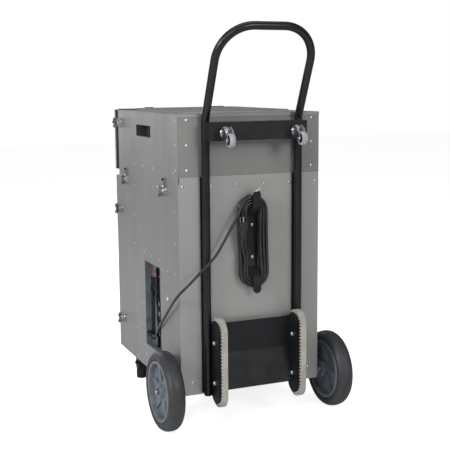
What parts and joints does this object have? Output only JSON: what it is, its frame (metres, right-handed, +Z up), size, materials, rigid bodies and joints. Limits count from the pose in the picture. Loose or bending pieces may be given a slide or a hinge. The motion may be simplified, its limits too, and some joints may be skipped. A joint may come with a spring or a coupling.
{
  "type": "portable dehumidifier",
  "caption": "Upright sheet-metal dehumidifier in latched sections on a tubular hand truck with wheels, stair-climbing belts, swivel casters and a stored power cord.",
  "frame": {"origin": "on the floor, at the middle of the footprint without the cord", "axes": "+Z up; the front door and cover face -Y; the handle, wheels and climbers are at +Y; the machine's own left side is +X"},
  "size_m": [0.644, 0.8299, 1.2646],
  "materials": {
    "grey_paint": "satin",
    "back_paint": "satin",
    "black_paint": "satin",
    "black_plastic": "matt",
    "foot_rubber": "matt",
    "gasket_foam": "matt",
    "latch_steel": "satin",
    "axle_steel": "satin",
    "zinc_plate": "satin",
    "aluminium": "satin",
    "tyre_rubber": "matt",
    "belt_rubber": "matt",
    "caster_rubber": "matt",
    "hub_plastic": "satin",
    "cord_rubber": "satin",
    "filter_media": "matt",
    "red_plastic": "gloss"
  },
  "bodies": {
    "truck": {"base_pan": "grey_paint", "lower_left_panel": "grey_paint", "lower_right_panel": "grey_paint", "lower_back_panel": "back_paint", "control_bay": "black_paint", "drain_fitting": "black_plastic", "cord_gland": "black_plastic", "compressor": "black_paint", "condensate_pump": "black_plastic", "drain_pan": "aluminium", "evaporator_coil": "aluminium", "condenser_coil": "aluminium", "cord_wrap": "black_paint", "power_cord": "cord_rubber", "cord_hank": "cord_rubber", "power_plug": "cord_rubber", "handle_frame": "black_paint", "upper_crossbar": "black_paint", "lower_cross_plate": "black_paint", "axle": "axle_steel", "left_climber_plate": "black_paint", "right_climber_plate": "black_paint", "left_climber_belt": "belt_rubber", "right_climber_belt": "belt_rubber", "left_front_foot": "foot_rubber", "right_front_foot": "foot_rubber", "left_caster_plate": "zinc_plate", "right_caster_plate": "zinc_plate"},
    "fan_section": {"left_upper_panel": "grey_paint", "right_upper_panel": "grey_paint", "upper_back_panel": "back_paint", "top_grille": "grey_paint", "filter_frame": "gasket_foam", "air_filter": "filter_media", "blower_housing": "aluminium", "fan_motor": "black_paint", "left_lift_handle": "grey_paint", "right_lift_handle": "grey_paint"},
    "front_door": {"upper_front_door": "grey_paint"},
    "front_cover": {"lower_front_cover": "grey_paint"},
    "switch": {"power_switch": "red_plastic"},
    "blower": {"blower_wheel": "aluminium"},
    "left_wheel": {"left_wheel_hub": "hub_plastic", "left_tyre": "tyre_rubber"},
    "right_wheel": {"right_wheel_hub": "hub_plastic", "right_tyre": "tyre_rubber"},
    "left_caster": {"left_caster_fork": "zinc_plate"},
    "right_caster": {"right_caster_fork": "zinc_plate"},
    "left_caster_roller": {"left_caster_wheel": "caster_rubber"},
    "right_caster_roller": {"right_caster_wheel": "caster_rubber"},
    "left_front_section_latch": {"left_front_section_latch": "latch_steel"},
    "right_front_section_latch": {"right_front_section_latch": "latch_steel"},
    "left_rear_section_latch": {"left_rear_section_latch": "latch_steel"},
    "right_rear_section_latch": {"right_rear_section_latch": "latch_steel"},
    "left_high_cover_latch": {"left_high_cover_latch": "latch_steel"},
    "right_high_cover_latch": {"right_high_cover_latch": "latch_steel"},
    "left_low_cover_latch": {"left_low_cover_latch": "latch_steel"},
    "right_low_cover_latch": {"right_low_cover_latch": "latch_steel"},
    "left_door_latch": {"left_door_latch": "latch_steel"},
    "right_door_latch": {"right_door_latch": "latch_steel"}
  },
  "joints": [
    {"name": "fan_section_lift", "type": "slide", "parent": "truck", "child": "fan_section", "axis": [0, 0, 1], "range_m": [0, 0.2]},
    {"name": "front_door_pull", "type": "slide", "parent": "fan_section", "child": "front_door", "axis": [0, -1, 0], "range_m": [0, 0.12]},
    {"name": "front_cover_pull", "type": "slide", "parent": "truck", "child": "front_cover", "axis": [0, -1, 0], "range_m": [0, 0.12]},
    {"name": "switch_rock", "type": "hinge", "parent": "truck", "child": "switch", "pos_m": [0.2265, -0.063, 0.454], "axis": [0, -1, 0], "range_deg": [0, 14]},
    {"name": "blower_spin", "type": "hinge", "parent": "fan_section", "child": "blower", "pos_m": [0, 0.01, 0.88], "axis": [1, 0, 0], "continuous": true},
    {"name": "left_wheel_spin", "type": "hinge", "parent": "truck", "child": "left_wheel", "pos_m": [0.294, 0.25, 0.127], "axis": [1, 0, 0], "continuous": true},
    {"name": "right_wheel_spin", "type": "hinge", "parent": "truck", "child": "right_wheel", "pos_m": [-0.294, 0.25, 0.127], "axis": [1, 0, 0], "continuous": true},
    {"name": "left_caster_swivel", "type": "hinge", "parent": "truck", "child": "left_caster", "pos_m": [0.12, 0.345, 0.938], "axis": [0, 1, 0], "continuous": true},
    {"name": "right_caster_swivel", "type": "hinge", "parent": "truck", "child": "right_caster", "pos_m": [-0.12, 0.345, 0.938], "axis": [0, 1, 0], "continuous": true},
    {"name": "left_caster_roll", "type": "hinge", "parent": "left_caster", "child": "left_caster_roller", "pos_m": [0.12, 0.384, 0.917], "axis": [1, 0, 0], "continuous": true},
    {"name": "right_caster_roll", "type": "hinge", "parent": "right_caster", "child": "right_caster_roller", "pos_m": [-0.12, 0.384, 0.917], "axis": [1, 0, 0], "continuous": true},
    {"name": "left_front_section_latch_turn", "type": "hinge", "parent": "truck", "child": "left_front_section_latch", "pos_m": [0.2525, -0.27, 0.748], "axis": [1, 0, 0], "range_deg": [0, 180]},
    {"name": "right_front_section_latch_turn", "type": "hinge", "parent": "truck", "child": "right_front_section_latch", "pos_m": [-0.2525, -0.27, 0.748], "axis": [-1, 0, 0], "range_deg": [0, 180]},
    {"name": "left_rear_section_latch_turn", "type": "hinge", "parent": "truck", "child": "left_rear_section_latch", "pos_m": [0.2525, 0.138, 0.748], "axis": [1, 0, 0], "range_deg": [0, 180]},
    {"name": "right_rear_section_latch_turn", "type": "hinge", "parent": "truck", "child": "right_rear_section_latch", "pos_m": [-0.2525, 0.138, 0.748], "axis": [-1, 0, 0], "range_deg": [0, 180]},
    {"name": "left_high_cover_latch_turn", "type": "hinge", "parent": "truck", "child": "left_high_cover_latch", "pos_m": [0.2525, -0.348, 0.635], "axis": [1, 0, 0], "range_deg": [0, 180]},
    {"name": "right_high_cover_latch_turn", "type": "hinge", "parent": "truck", "child": "right_high_cover_latch", "pos_m": [-0.2525, -0.348, 0.635], "axis": [-1, 0, 0], "range_deg": [0, 180]},
    {"name": "left_low_cover_latch_turn", "type": "hinge", "parent": "truck", "child": "left_low_cover_latch", "pos_m": [0.2525, -0.348, 0.222], "axis": [1, 0, 0], "range_deg": [0, 180]},
    {"name": "right_low_cover_latch_turn", "type": "hinge", "parent": "truck", "child": "right_low_cover_latch", "pos_m": [-0.2525, -0.348, 0.222], "axis": [-1, 0, 0], "range_deg": [0, 180]},
    {"name": "left_door_latch_turn", "type": "hinge", "parent": "fan_section", "child": "left_door_latch", "pos_m": [0.2525, -0.348, 0.948], "axis": [1, 0, 0], "range_deg": [0, 180]},
    {"name": "right_door_latch_turn", "type": "hinge", "parent": "fan_section", "child": "right_door_latch", "pos_m": [-0.2525, -0.348, 0.948], "axis": [-1, 0, 0], "range_deg": [0, 180]}
  ]
}
